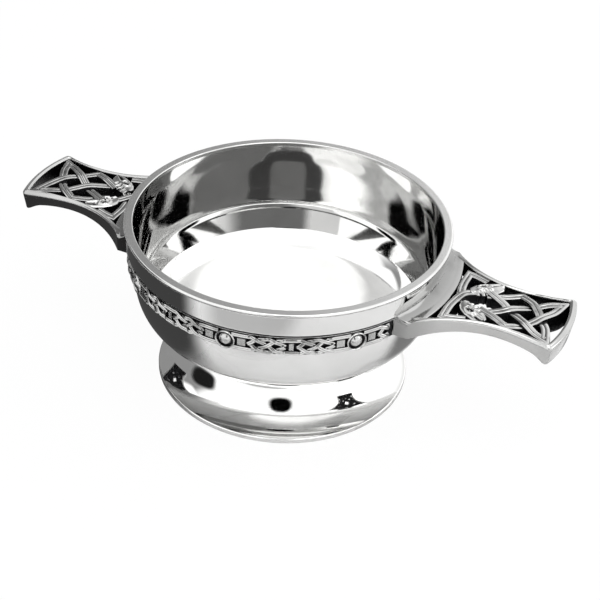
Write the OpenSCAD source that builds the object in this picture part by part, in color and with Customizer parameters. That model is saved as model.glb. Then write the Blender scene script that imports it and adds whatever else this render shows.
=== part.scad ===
// Footed two-handled quaich: a shallow drinking bowl with a flat-topped rim wire,
// a band of knotwork set with domed bosses, a flared hollow foot and two pierced lugs.
// Millimetres, +Z up, origin at the centre of the foot's underside, handles along X.

/* [Bowl] */
// Outside diameter of the bowl body, where the knotwork band is seated
bowl_d = 104; // [90:1:130]
// Depth of the rounded belly, from the band's lower edge to the bowl's underside
belly_h = 27; // [20:0.5:34]
// Squareness of the belly's curve: 2 is an ellipse, more is flatter underneath
belly_power = 3; // [2:0.1:4]
// Wall thickness of the bowl
wall = 2; // [1.2:0.1:3]
// How far the plain collar stands out from the bowl body
collar_step = 2.2; // [1.8:0.1:3]
// Wall thickness of the collar
collar_wall = 2.3; // [1.5:0.1:4]
// Height of the plain collar
collar_h = 7; // [4:0.5:12]

/* [Rim wire] */
// Height of the rim wire
rim_h = 1.4; // [1:0.1:2.4]
// How far the rim wire overhangs the collar
rim_overhang = 0.8; // [0.2:0.1:1.5]

/* [Knotwork band] */
// Height of the knotwork
band_h = 7; // [6:0.5:10]
// Thickness of the strip that carries the knotwork
strip_t = 1.2; // [0.6:0.1:1.4]
// Height of the ribbons above the strip
relief_h = 0.9; // [0.3:0.1:1.2]
// Width of a band ribbon
band_ribbon_w = 1.4; // [0.8:0.1:2]
// Diameter of the wire along the band's upper edge
wire_d = 0.9; // [0.5:0.1:1.2]
// Height of the open groove between that wire and the collar
groove_h = 0.4; // [0.2:0.1:1]
// Number of bosses in a full round, counting those that the handles take the place of
boss_count = 8; // [6:1:12]
// Turn of the first boss away from the right handle, in degrees
boss_turn = 4; // [-10:1:10]

/* [Bosses] */
// Diameter of a domed boss
boss_d = 4.3; // [3:0.1:4.6]
// Height of a dome above the strip
boss_h = 1.3; // [0.6:0.1:1.6]
// Width of the groove between a boss and its collet
collet_gap = 0.5; // [0.2:0.1:0.8]
// Width of the collet ring round a boss
collet_w = 0.8; // [0.5:0.1:1.2]

/* [Foot] */
// Height of the bowl's underside above the table
foot_rise = 17; // [12:0.5:30]
// Diameter of the foot
foot_d = 88.4; // [76:0.2:100]
// Height of the foot's upright edge
foot_edge_h = 2; // [1:0.1:4]
// Radius of the foot's hollow flare
flare_r = 14.5; // [10:0.5:22]
// Wall thickness of the foot
foot_wall = 2; // [1.2:0.1:3]
// Width of the flat ring that the quaich stands on
land_w = 3.5; // [2:0.1:6]

/* [Handles] */
// Length of a handle, from the band's strip to the middle of its end
handle_len = 46; // [38:0.5:60]
// Width of a handle at its root
root_w = 47; // [40:0.5:54]
// Width of a handle at its waist
waist_w = 24.6; // [20:0.2:32]
// Distance of the waist from the strip
waist_x = 25.8; // [22:0.2:29]
// Radius of the side curve between the root and the waist
root_arc_r = 36.5; // [32:0.5:50]
// Radius of the side curve between the waist and the end
end_arc_r = 55; // [40:1:90]
// Radius of the bowed end, seen from above
end_bow_r = 47.5; // [30:0.5:80]
// Lean of the end face, inwards at the bottom, in degrees
end_lean = 16; // [0:1:25]
// Thickness of a handle at its end
handle_t = 6.2; // [5:0.1:9]
// Thickness of a handle at the crown of its arched underside
crown_t = 3.9; // [3.4:0.1:4.8]
// Distance of that crown from the strip
crown_x = 21.8; // [18:0.2:26]
// Radius of the arched underside
arch_r = 106; // [80:1:160]
// Width of the frame along the sides
side_border = 1.6; // [1:0.1:3]
// Width of the frame along the end
end_border = 2.5; // [1.5:0.1:4]
// Width of the frame at the root
root_border = 6.3; // [4:0.1:9]

/* [Handle knotwork] */
// Width of an interlaced ribbon
ribbon_w = 2.4; // [1.6:0.1:3.2]
// Depth of an interlaced ribbon
ribbon_depth = 3; // [2:0.1:3.2]
// Rise of a ribbon where it crosses over another
weave_rise = 0.5; // [0.1:0.1:0.8]
// Joint gap between a knotwork panel and its frame
panel_gap = 0.05; // [0.02:0.01:0.2]
// Diameter of a beast head's brow
brow_d = 5; // [3.5:0.1:6]
// Diameter of a beast head's snout
snout_d = 2.4; // [1.5:0.1:3.2]
// Diameter of a beast's eye
eye_d = 1.5; // [0.8:0.1:2]

/* [Hidden] */

// Smoothness of round pieces, of the band, of its wire and of the pillars that draw a ribbon
$fn = 128;
band_fn = 96;
wire_fn = 8;
pillar_fn = 12;

// Steps along the belly's curve, and along a band strand from boss to boss
belly_steps = 24;
strand_steps = 14;

// Heights, stacked up from the table
belly_top = foot_rise + belly_h;
band_top = belly_top + band_h;
wire_top = band_top + wire_d;
collar_bottom = wire_top + groove_h;
collar_top = collar_bottom + collar_h;
band_mid = belly_top + band_h / 2;

// Radii about the bowl's axis
bowl_r = bowl_d / 2;
strip_r = bowl_r + strip_t;
strip_sink = strip_t / 2;
collar_r = bowl_r + collar_step;
mouth_r = collar_r - collar_wall;
rim_r = collar_r + rim_overhang;
foot_r = foot_d / 2;
neck_r = foot_r - flare_r;

// Bosses and collets, each in its own turn of the band
unit_angle = 360 / boss_count;
collet_in_r = boss_d / 2 + collet_gap;
collet_out_r = collet_in_r + collet_w;
dome_r = (pow(boss_d / 2, 2) + pow(boss_h, 2)) / (2 * boss_h);

// Handle places, measured from the bowl's axis
handle_top = band_top;
handle_reach = strip_r + handle_len;
waist_at = strip_r + waist_x;
waist_half = waist_w / 2;
window_start = strip_r + root_border;
window_end = handle_reach - end_border;

// Half the angle of the band that a handle's root covers, with room for the relief beside it
root_side_gap = 0.6;
root_half_angle = asin((root_w / 2 + root_side_gap) / strip_r);

// Far enough to reach past every handle when cutting one side from the other
far = handle_reach * 2;

// Angle from the nearest handle's middle, from 0 to 90
function from_handle(angle) = 90 - abs(90 - abs(((angle % 360) + 540) % 360 - 180));

// True where the band lies clear of both handle roots, with a margin in degrees
function band_is_clear(angle, margin) = from_handle(angle) > root_half_angle + margin;

// Half of the belly's curve as [radius, height], pulled in by inset, from the axis up to the band
function belly_curve(inset) = [
    for (i = [0:belly_steps])
        let (t = 90 * i / belly_steps)
        [(bowl_r - inset) * pow(sin(t), 2 / belly_power),
         belly_top - (belly_h - inset) * pow(cos(t), 2 / belly_power)]
];

// The same curve from the band down to the axis
function reversed(points) = [for (i = [len(points) - 1:-1:0]) points[i]];

// Where a strand of the band lies between two bosses: 1 is the upper edge and -1 the lower one.
// The strand swings half a wave from each crossing to the next.
function band_swing(share) = sin(lookup(share, [
    [0, 90], [0.27, 180], [0.40, 360], [0.60, 540], [0.73, 720], [1, 810]
]));

// Half the clear width of a handle's window at distance x from the axis
function window_half(x) =
    let (r = x < waist_at ? root_arc_r : end_arc_r)
    waist_half + r - sqrt(pow(r + side_border, 2) - pow(x - waist_at, 2));

// A route point's place: u is its share of the window's length and v its share of the half width
function panel_point(u, v) =
    let (x = window_start + u * (window_end - window_start))
    [x, v * window_half(x)];

// Routes in the right handle as [u, v, level], with level 1 over, -1 under and 0 beside a crossing.
// The other strand and the other neck are mirrored, with over and under changed about.
strand_route = [
    [0.30, -0.50, -1], [0.43, -0.24, 0], [0.52, 0, 1], [0.56, 0.14, 0], [0.69, 0.48, -1],
    [0.82, 0.77, 0], [0.96, 0.95, 0], [0.88, 0.36, 0], [0.80, 0, 1], [0.74, -0.32, 0],
    [0.68, -0.55, -1], [0.55, -0.95, 0], [0.42, -0.66, 1], [0.27, -0.32, 0]
];
neck_route = [
    [0.17, 0.22, 0], [0.07, 0, 1], [0.05, -0.18, 0], [0.02, -0.54, 0], [0, -0.84, 0],
    [0.09, -0.85, 0], [0.20, -0.78, 0]
];
brow_at = [0.19, -0.36];
eye_at = [0.23, -0.60];
snout_at = [0.34, -0.93];

// Spun bowl: belly, band seat and collar in one wall
module bowl() {
    color("silver")
        rotate_extrude()
            polygon(concat(
                belly_curve(0),
                [[bowl_r, collar_bottom],
                 [collar_r, collar_bottom],
                 [collar_r, collar_top],
                 [mouth_r, collar_top]],
                reversed(belly_curve(wall))
            ));
}

// Flat-topped wire with a rounded outer edge, seated on the collar
module rim_wire() {
    color("gainsboro")
        rotate_extrude()
            union() {
                translate([mouth_r, collar_top])
                    square([rim_r - rim_h / 2 - mouth_r, rim_h]);
                translate([rim_r - rim_h / 2, collar_top + rim_h / 2])
                    circle(d = rim_h);
            }
}

// Places its children on the strip at an angle, with their own Z pointing outwards
module on_strip(angle, r) {
    rotate([0, 0, angle])
        translate([r, 0, band_mid])
            rotate([0, 90, 0])
                children();
}

// Repeats its children at radius r for each boss that the handles leave room for
module at_each_boss(r) {
    for (i = [0:boss_count - 1]) {
        angle = boss_turn + i * unit_angle;
        if (band_is_clear(angle, asin(collet_out_r / strip_r)))
            on_strip(angle, r)
                children();
    }
}

// One station of a band strand: a thin brick across the ribbon, sunk into the strip
module band_station(angle, swing) {
    middle = band_mid + swing * (band_h - band_ribbon_w) / 2;
    rotate([0, 0, angle])
        translate([strip_r - strip_sink, -band_ribbon_w / 4, middle - band_ribbon_w / 2])
            cube([strip_sink + relief_h, band_ribbon_w / 2, band_ribbon_w]);
}

// Two strands that weave from boss to boss and stop at the handle roots
module band_strands() {
    stations = boss_count * strand_steps;
    for (side = [-1, 1])
        for (i = [0:stations - 1]) {
            a = boss_turn + i * unit_angle / strand_steps;
            b = boss_turn + (i + 1) * unit_angle / strand_steps;
            if (band_is_clear(a, 1) && band_is_clear(b, 1))
                hull() {
                    band_station(a, side * band_swing((i % strand_steps) / strand_steps));
                    band_station(b, side * band_swing((i % strand_steps + 1) / strand_steps));
                }
        }
}

// Ring round one boss, sunk into the strip
module collet() {
    difference() {
        cylinder(r = collet_out_r, h = strip_sink + relief_h, $fn = 2 * pillar_fn);
        translate([0, 0, -strip_sink])
            cylinder(r = collet_in_r, h = 3 * strip_sink + relief_h, $fn = 2 * pillar_fn);
    }
}

// Strip with a wire along its upper edge, collets, and strands woven between them
module knotwork_band() {
    color("darkgray")
        union() {
            rotate_extrude($fn = band_fn)
                union() {
                    translate([bowl_r, belly_top])
                        square([strip_t, band_h + wire_d]);
                    translate([strip_r, band_top + wire_d / 2])
                        circle(d = wire_d, $fn = wire_fn);
                }
            difference() {
                band_strands();
                at_each_boss(0)
                    cylinder(r = (collet_in_r + collet_out_r) / 2, h = 2 * strip_r, $fn = 2 * pillar_fn);
            }
            at_each_boss(strip_r - strip_sink)
                collet();
        }
}

// Domed bosses, each standing on the strip inside its collet
module band_bosses() {
    color("whitesmoke")
        at_each_boss(strip_r)
            rotate_extrude()
                intersection() {
                    translate([0, boss_h - dome_r])
                        circle(r = dome_r);
                    square([boss_d, boss_h]);
                }
}

// Flared hollow foot, cut to the bowl's underside
module foot() {
    color("silver")
        rotate_extrude()
            difference() {
                square([foot_r, belly_top]);
                translate([foot_r, foot_edge_h + flare_r])
                    circle(r = flare_r);
                translate([neck_r, foot_edge_h + flare_r])
                    square([flare_r, belly_top]);
                foot_hollow();
                polygon(concat(belly_curve(0), [[0, belly_top]]));
            }
}

// Outline of the hollow inside the foot: one wall in from the flare, and clear of the flat ring
module foot_hollow() {
    difference() {
        square([foot_r - land_w, belly_top]);
        translate([foot_r, foot_edge_h + flare_r])
            circle(r = flare_r + foot_wall);
        translate([neck_r - foot_wall, foot_edge_h + flare_r])
            square([flare_r + foot_wall, belly_top]);
    }
}

// What the two side curves cut away beyond y = 0, tangent to each other at the waist
module side_cut(border) {
    intersection() {
        translate([waist_at, waist_half + root_arc_r])
            circle(r = root_arc_r + border);
        translate([waist_at - far, 0])
            square([far, far]);
    }
    intersection() {
        translate([waist_at, waist_half + end_arc_r])
            circle(r = end_arc_r + border);
        translate([waist_at, 0])
            square([far, far]);
    }
}

// Outline of a handle seen from above, reaching in to the bowl's axis
module handle_plan() {
    difference() {
        translate([0, -root_w / 2])
            square([handle_reach, root_w]);
        side_cut(0);
        mirror([0, 1])
            side_cut(0);
    }
}

// Outline of a handle's window, with room left for a joint of the given width
module window_plan(gap) {
    difference() {
        intersection() {
            translate([handle_reach - end_bow_r, 0])
                circle(r = end_bow_r - end_border - gap);
            translate([0, -root_w / 2])
                square([handle_reach, root_w]);
        }
        circle(r = window_start + gap);
        side_cut(side_border + gap);
        mirror([0, 1])
            side_cut(side_border + gap);
    }
}

// One handle frame: bowed end face, arched underside, open window and a saddle for the strip
module handle_frame() {
    color("lightgray")
        difference() {
            intersection() {
                translate([0, 0, handle_top - handle_t])
                    linear_extrude(handle_t)
                        handle_plan();
                translate([handle_reach - end_bow_r, 0, handle_top - handle_t])
                    cylinder(r1 = end_bow_r - handle_t * tan(end_lean), r2 = end_bow_r, h = handle_t);
            }
            translate([strip_r + crown_x, 0, handle_top - crown_t - arch_r])
                rotate([90, 0, 0])
                    cylinder(r = arch_r, h = far, center = true);
            translate([0, 0, handle_top - 2 * handle_t])
                linear_extrude(3 * handle_t)
                    window_plan(0);
            translate([0, 0, handle_top - 2 * handle_t])
                cylinder(r = strip_r, h = 3 * handle_t);
        }
}

// One upright pillar of a ribbon at a route point, with its top below the frame's by the weave
module ribbon_pillar(route_point, side) {
    at = panel_point(route_point[0], route_point[1]);
    drop = weave_rise * (1 - side * route_point[2]);
    translate([at[0], side * at[1], handle_top - drop - ribbon_depth])
        cylinder(d = ribbon_w, h = ribbon_depth, $fn = pillar_fn);
}

// A ribbon along a route, with side -1 for its mirrored twin
module ribbon(route, side) {
    for (i = [0:len(route) - 2])
        hull() {
            ribbon_pillar(route[i], side);
            ribbon_pillar(route[i + 1], side);
        }
}

// A beast head laid over the ribbons: brow and snout with a raised eye
module beast_head(side) {
    brow = panel_point(brow_at[0], side * brow_at[1]);
    eye = panel_point(eye_at[0], side * eye_at[1]);
    snout = panel_point(snout_at[0], side * snout_at[1]);
    head_bottom = handle_top - ribbon_depth;
    hull() {
        translate([brow[0], brow[1], head_bottom])
            cylinder(d = brow_d, h = ribbon_depth - weave_rise, $fn = 2 * pillar_fn);
        translate([snout[0], snout[1], head_bottom])
            cylinder(d = snout_d, h = ribbon_depth - weave_rise, $fn = 2 * pillar_fn);
    }
    translate([eye[0], eye[1], handle_top - weave_rise])
        sphere(d = eye_d, $fn = pillar_fn);
}

// One pierced panel: two strands, two necks and two heads, trimmed to its window
module handle_knotwork() {
    color("dimgray")
        intersection() {
            union() {
                for (side = [-1, 1]) {
                    ribbon(strand_route, side);
                    ribbon(neck_route, side);
                    beast_head(side);
                }
            }
            translate([0, 0, handle_top - handle_t])
                linear_extrude(handle_t + eye_d)
                    window_plan(panel_gap);
        }
}

module right_handle_frame() {
    handle_frame();
}

module left_handle_frame() {
    rotate([0, 0, 180])
        handle_frame();
}

module right_handle_knotwork() {
    handle_knotwork();
}

module left_handle_knotwork() {
    rotate([0, 0, 180])
        handle_knotwork();
}

bowl();
rim_wire();
knotwork_band();
band_bosses();
foot();
left_handle_frame();
right_handle_frame();
left_handle_knotwork();
right_handle_knotwork();
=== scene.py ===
"""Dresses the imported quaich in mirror-polished, lapped, cast and blackened pewter.

Each sub-assembly is a class whose fields repeat the solids' sizes. Its surfaces are grids worked out with
numpy, with rounded edges and finer relief than the solids. Each point carries a recess value, which the
black patina reads, and a tarnish value, which darkens the polish. Sizes are in millimetres and angles in
degrees where nothing else is said, and the studio's places are in metres.
"""

import logging
import math
from dataclasses import dataclass, replace
from enum import Enum
from functools import cache

import bmesh
import bpy
import numpy as np
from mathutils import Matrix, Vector


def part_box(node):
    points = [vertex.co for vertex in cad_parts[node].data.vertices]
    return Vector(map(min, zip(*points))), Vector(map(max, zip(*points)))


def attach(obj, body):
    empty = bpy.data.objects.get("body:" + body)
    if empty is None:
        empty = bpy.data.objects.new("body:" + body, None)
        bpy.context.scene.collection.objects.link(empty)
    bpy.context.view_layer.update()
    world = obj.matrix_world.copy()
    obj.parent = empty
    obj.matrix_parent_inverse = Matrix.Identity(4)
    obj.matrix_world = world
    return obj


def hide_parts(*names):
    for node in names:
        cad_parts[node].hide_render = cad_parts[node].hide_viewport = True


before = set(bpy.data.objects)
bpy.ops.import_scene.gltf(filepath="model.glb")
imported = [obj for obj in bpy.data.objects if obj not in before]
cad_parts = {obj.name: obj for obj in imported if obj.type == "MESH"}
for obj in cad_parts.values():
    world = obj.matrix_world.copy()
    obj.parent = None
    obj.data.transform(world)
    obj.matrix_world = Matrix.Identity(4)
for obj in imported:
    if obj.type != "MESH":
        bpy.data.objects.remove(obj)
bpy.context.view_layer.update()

Array = np.ndarray
Pair = tuple[float, float]
Triple = tuple[float, float, float]
Rows = tuple[Triple, ...]
Socket = bpy.types.NodeSocket
Feed = Socket | float | tuple[float, ...]
Feeds = dict[str | int, Feed]
Outputs = bpy.types.bpy_prop_collection

LOG = logging.getLogger("quaich")
MM = 0.001
BODY = "root"
RECESS = "recess"
TARNISH = "tarnish"
COVER = "cover"
SHARP_ANGLE = math.radians(38.0)
MERGE_DISTANCE = 1e-7
ROUND_STEPS = 256
CARD_STEPS = 41
QUARTER_TURN = 0.5 * math.pi
# A drop in a ribbon's section that stands for the whole way down.
TO_FLOOR = 9.0


class Slot(Enum):
    """The record's material slots."""

    POLISHED = "polished_pewter"
    CAST = "cast_pewter"
    BLACKENED = "blackened_relief"


class Side(Enum):
    """The two handles, with the sign that half a turn about the bowl's axis gives to x and y."""

    RIGHT = 1.0
    LEFT = -1.0


class Seen(Enum):
    """The number of reflections after which a card shows, where OFTEN is that many or more."""

    ONCE = 1
    TWICE = 2
    OFTEN = 3


def top_of(node: str) -> float:
    """Height of a CAD node's highest point, in millimetres."""
    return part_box(node)[1].z / MM


def bottom_of(node: str) -> float:
    """Height of a CAD node's lowest point, in millimetres."""
    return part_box(node)[0].z / MM


@dataclass
class Surface:
    """A grid of points, with a recess and a tarnish value from 0 to 1 at each point."""

    points: Array
    recess: Array | float
    rows_closed: bool = False
    columns_closed: bool = False
    tarnish: Array | float = 0.0

    def __post_init__(self) -> None:
        """Spreads both values over the whole grid."""
        self.recess = np.broadcast_to(self.recess, self.points.shape[:2])
        self.tarnish = np.broadcast_to(self.tarnish, self.points.shape[:2])

    def faces(self, start: int = 0) -> Array:
        """Four corners of every cell of the grid.

        Args:
            start: Index of the grid's first point in the mesh.

        Returns:
            Point indices, one row of four for each cell.
        """
        rows, columns = self.recess.shape
        row = np.arange(rows if self.rows_closed else rows - 1)
        column = np.arange(columns if self.columns_closed else columns - 1)
        i, j = np.meshgrid(row, column, indexing="ij")
        next_i = (i + 1) % rows
        next_j = (j + 1) % columns
        corners = [i * columns + j, next_i * columns + j, next_i * columns + next_j, i * columns + next_j]
        return np.stack(corners, axis=-1).reshape(-1, 4) + start

    def turned(self, side: Side) -> "Surface":
        """The same grid after half a turn about the bowl's axis, if the side asks for one."""
        flip = np.array([side.value, side.value, 1.0])
        return replace(self, points=self.points * flip)


def unit(vectors: Array) -> Array:
    """Vectors scaled to a length of one."""
    return vectors / np.linalg.norm(vectors, axis=-1, keepdims=True)


def full_turn(steps: int) -> Array:
    """Even angles round a full turn, in radians, without the first one again at the end."""
    return np.linspace(0.0, 2.0 * math.pi, steps, endpoint=False)


def about_axis(radius: Array, turn: Array, height: Array) -> Array:
    """Points at radius times cosine of the turn, radius times its sine, and the height.

    Args:
        radius: Distances from the axis.
        turn: Angles in radians.
        height: Heights. The three arrays are spread over each other.

    Returns:
        The points, with x, y and z last.
    """
    radius, turn, height = np.broadcast_arrays(radius, turn, height)
    return np.stack([radius * np.cos(turn), radius * np.sin(turn), height], axis=-1)


def direction(azimuth: Array | float, elevation: Array | float) -> Array:
    """Unit vectors at azimuths and elevations, in degrees."""
    rise = np.radians(elevation)
    return about_axis(np.cos(rise), np.radians(azimuth), np.sin(rise))


def smooth_step(low: float, high: float, value: Array) -> Array:
    """0 below low and 1 above high, with a smooth rise between them."""
    share = np.clip((value - low) / (high - low), 0.0, 1.0)
    return share * share * (3.0 - 2.0 * share)


def ridge(value: Array, middle: float, width: float) -> Array:
    """A bell curve: 1 where the value is in the middle, falling off over the width."""
    return np.exp(-(((value - middle) / width) ** 2))


def symmetric(half: Rows) -> Array:
    """A whole section from its right half.

    Args:
        half: Rows of place across, drop and recess, from the middle to the right edge.

    Returns:
        The three as arrays, from the left edge to the right.
    """
    right = np.array(half)
    left = right[:0:-1] * np.array([-1.0, 1.0, 1.0])
    return np.concatenate([left, right]).T


def filleted(corners: list[Triple], steps: int = 6, support: float = 0.12) -> Array:
    """Rounds the corners of an open outline.

    A corner becomes an arc tangent to both of its sides. A support point a little before and after
    the arc keeps the flat sides flat when they are shaded.

    Args:
        corners: Each corner as two coordinates and a fillet radius, where 0 leaves it sharp.
        steps: Points on each arc.
        support: Distance of a support point from its arc.

    Returns:
        The outline's points, one pair to a row.
    """
    places = np.array([corner[:2] for corner in corners])
    parts = [places[:1]]
    for index in range(1, len(corners) - 1):
        place = places[index]
        radius = corners[index][2]
        if radius == 0.0:
            parts.append(place[None])
            continue
        back = unit(places[index - 1] - place)
        ahead = unit(places[index + 1] - place)
        half = 0.5 * math.acos(float(back @ ahead))
        reach = radius / math.tan(half)
        centre = place + unit(back + ahead) * radius / math.sin(half)
        start = place + back * reach
        end = place + ahead * reach
        sweep = math.pi - 2.0 * half
        share = np.linspace(0.0, 1.0, steps)[:, None]
        swing = np.sin((1.0 - share) * sweep) * (start - centre) + np.sin(share * sweep) * (end - centre)
        arc = centre + swing / math.sin(sweep)
        parts += [(start + back * support)[None], arc, (end + ahead * support)[None]]
    parts.append(places[-1:])
    return np.concatenate(parts)


def revolve(profile: Array, closed: bool, recess: Array | float = 0.0) -> Surface:
    """Turns a profile of [radius, height] rows about the bowl's axis.

    Args:
        profile: The outline's points.
        closed: Whether the outline joins its own start.
        recess: One recess value for all, or a column with one for each point of the outline.

    Returns:
        The surface, closed around the axis.
    """
    points = about_axis(profile[:, :1], full_turn(ROUND_STEPS), profile[:, 1:])
    return Surface(points, recess, rows_closed=closed, columns_closed=True)


def spline(points: Array, steps: int) -> Array:
    """A smooth curve through points.

    Between two points it is the cubic whose end slopes are half the step between the neighbours, and
    at the curve's two ends the slope is the step itself.

    Args:
        points: The places to pass, one to a row.
        steps: Points from one place to the next.

    Returns:
        The curve's points, with each place among them.
    """
    slope = np.gradient(points, axis=0)
    share = np.linspace(0.0, 1.0, steps, endpoint=False)[None, :, None]
    start, end = points[:-1, None], points[1:, None]
    leave, arrive = slope[:-1, None], slope[1:, None]
    cube, square = share**3, share**2
    curve = (
        (2 * cube - 3 * square + 1) * start
        + (cube - 2 * square + share) * leave
        + (3 * square - 2 * cube) * end
        + (cube - square) * arrive
    )
    return np.concatenate([curve.reshape(-1, points.shape[1]), points[-1:]])


def tube(points: Array, recess: Array) -> Surface:
    """A closed tube: each end's last row is drawn together into its middle.

    Args:
        points: Sections of the tube, one to a row.
        recess: The recess value of each point, or of each point of one section.

    Returns:
        The tube, with one more row at each end.
    """
    middles = points[[0, -1]].mean(axis=1, keepdims=True)
    ends = np.broadcast_to(middles, (2, *points.shape[1:]))
    shade = np.pad(np.broadcast_to(recess, points.shape[:2]), ((1, 1), (0, 0)), mode="edge")
    return Surface(np.concatenate([ends[:1], points, ends[1:]]), shade, columns_closed=True)


def put_values(mesh: bpy.types.Mesh, label: str, values: Array) -> None:
    """Stores one number for each point of a mesh, for a material to read."""
    stored = mesh.attributes.new(label, "FLOAT", "POINT")
    stored.data.foreach_set("value", values.ravel().astype(np.float32))


def placed(name: str, data: bpy.types.ID) -> bpy.types.Object:
    """Makes an object and links it into the scene.

    Args:
        name: The object's name.
        data: Its mesh, lamp or camera.

    Returns:
        The object.
    """
    made = bpy.data.objects.new(name, data)
    bpy.context.scene.collection.objects.link(made)
    return made


def build_piece(name: str, surfaces: list[Surface], finish: "PewterFinish", node: str) -> None:
    """Makes one mesh object from grids and puts it in the place of its CAD node.

    Args:
        name: The piece's name.
        surfaces: The grids that it is made of.
        finish: The finish that it wears.
        node: The CAD node that it stands for.
    """
    counts = [surface.recess.size for surface in surfaces]
    starts = np.concatenate([[0], np.cumsum(counts)[:-1]])
    points = np.concatenate([surface.points.reshape(-1, 3) for surface in surfaces]) * MM
    faces = np.concatenate([surface.faces(start) for surface, start in zip(surfaces, starts)])
    mesh = bpy.data.meshes.new(name)
    mesh.from_pydata(points.tolist(), [], faces.tolist())
    for label in (RECESS, TARNISH):
        put_values(mesh, label, np.concatenate([getattr(surface, label).ravel() for surface in surfaces]))
    shell = bmesh.new()
    shell.from_mesh(mesh)
    bmesh.ops.remove_doubles(shell, verts=shell.verts, dist=MERGE_DISTANCE)
    bmesh.ops.recalc_face_normals(shell, faces=shell.faces)
    shell.to_mesh(mesh)
    shell.free()
    mesh.polygons.foreach_set("use_smooth", np.ones(len(mesh.polygons), bool))
    mesh.set_sharp_from_angle(angle=SHARP_ANGLE)
    mesh.materials.append(finish.material())
    piece = placed(name, mesh)
    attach(piece, BODY)
    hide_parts(node)
    LOG.info("%s: %d faces for %s", name, len(mesh.polygons), node)


class NodeSheet:
    """A node tree with short calls for adding nodes together with what feeds them."""

    def __init__(self, tree: bpy.types.NodeTree) -> None:
        """Keeps the tree."""
        self.tree = tree

    def feed(self, node: bpy.types.Node, feeds: Feeds) -> None:
        """Links or sets a node's inputs.

        Args:
            node: The node.
            feeds: For each input, by name or number, a socket to link or a constant to set.
        """
        for key, value in feeds.items():
            if isinstance(value, Socket):
                self.tree.links.new(value, node.inputs[key])
            else:
                node.inputs[key].default_value = value

    def add(self, kind: str, feeds: Feeds | None = None, **settings: object) -> Outputs:
        """Adds a node.

        Args:
            kind: The node's type.
            feeds: What feeds its inputs.
            settings: The node's own settings.

        Returns:
            The node's outputs.
        """
        node = self.tree.nodes.new(kind)
        for key, value in settings.items():
            setattr(node, key, value)
        self.feed(node, feeds or {})
        return node.outputs

    def math(self, operation: str, *feeds: Feed, clamp: bool = False) -> Socket:
        """The result of a Math node on its inputs in order, kept between 0 and 1 if clamped."""
        return self.add("ShaderNodeMath", dict(enumerate(feeds)), operation=operation, use_clamp=clamp)[0]

    def vector(self, operation: str, *feeds: Feed) -> Outputs:
        """The outputs of a Vector Math node on its inputs in order."""
        return self.add("ShaderNodeVectorMath", dict(enumerate(feeds)), operation=operation)

    def noise(self, scale: Feed, detail: float) -> Socket:
        """Noise from 0 to 1 on the piece's Object coordinates."""
        place = self.add("ShaderNodeTexCoord")["Object"]
        return self.add("ShaderNodeTexNoise", {"Vector": place, "Scale": scale, "Detail": detail})["Fac"]

    def rise(self, value: Feed, low: Feed, high: Feed, start: float = 0.0, end: float = 1.0) -> Socket:
        """A smooth rise from start to end while a value goes from low to high."""
        span = {"Value": value, "From Min": low, "From Max": high, "To Min": start, "To Max": end}
        return self.add("ShaderNodeMapRange", span, interpolation_type="SMOOTHSTEP")["Result"]

    def stored(self, label: str) -> Socket:
        """A value that the mesh stores at each point."""
        return self.add("ShaderNodeAttribute", attribute_name=label)["Fac"]

    def mix(self, kind: str, factor: Feed, first: Feed, second: Feed) -> Socket:
        """A mix of two values of a kind, from the first at a factor of 0 to the second at 1."""
        feeds = {"Factor": factor, "A": first, "B": second}
        return self.add("ShaderNodeMix", feeds, data_type=kind)["Result"]

    def show(self, factor: Feed, first: Feed, second: Feed) -> None:
        """Gives a mix of two shaders to the material's surface."""
        mixed = self.add("ShaderNodeMixShader", {0: factor, 1: first, 2: second})[0]
        self.feed(self.tree.nodes["Material Output"], {"Surface": mixed})


def new_material(name: str) -> tuple[bpy.types.Material, NodeSheet]:
    """Makes a material that has nodes.

    Args:
        name: The material's name.

    Returns:
        The material, and the sheet that fills it.
    """
    material = bpy.data.materials.new(name)
    material.use_nodes = True
    return material, NodeSheet(material.node_tree)


def new_group(name: str, inputs: tuple[str, ...], outputs: tuple[str, ...]) -> tuple[NodeSheet, Outputs]:
    """An empty shader group with named values in and out.

    Args:
        name: The group's name.
        inputs: The names of its inputs.
        outputs: The names of its outputs.

    Returns:
        The group's sheet, to be filled, and the sockets that bring the inputs in.
    """
    tree = bpy.data.node_groups.new(name, "ShaderNodeTree")
    for way, labels in (("INPUT", inputs), ("OUTPUT", outputs)):
        for label in labels:
            tree.interface.new_socket(label, in_out=way, socket_type="NodeSocketFloat")
    sheet = NodeSheet(tree)
    return sheet, sheet.add("NodeGroupInput")


@cache
def hand_polish_group() -> bpy.types.NodeTree:
    """Uneven hand polish: a roughness that varies in soft patches, and a fine wavy height.

    Returns:
        The group, made on the first call.
    """
    inputs = ("Roughness", "Variation", "Patch scale", "Scratches")
    sheet, given = new_group("hand_polish", inputs, ("Roughness", "Height"))
    patch = sheet.noise(given["Patch scale"], detail=3.0)
    scratch = sheet.noise(scale=900.0, detail=2.0)
    centred = sheet.math("SUBTRACT", patch, 0.5)
    rough = sheet.math("MULTIPLY_ADD", centred, given["Variation"], given["Roughness"], clamp=True)
    height = sheet.math("MULTIPLY_ADD", scratch, given["Scratches"], patch)
    sheet.add("NodeGroupOutput", {"Roughness": rough, "Height": height})
    return sheet.tree


@cache
def patina_group() -> bpy.types.NodeTree:
    """Black patina left in recesses: a mask from the recess value, broken up at its edge by noise.

    Returns:
        The group, made on the first call.
    """
    sheet, given = new_group("recess_patina", ("Start", "End", "Break-up"), ("Mask",))
    centred = sheet.math("SUBTRACT", sheet.noise(scale=700.0, detail=3.0), 0.5)
    broken = sheet.math("MULTIPLY_ADD", centred, given["Break-up"], sheet.stored(RECESS))
    sheet.add("NodeGroupOutput", {"Mask": sheet.rise(broken, given["Start"], given["End"])})
    return sheet.tree


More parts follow.
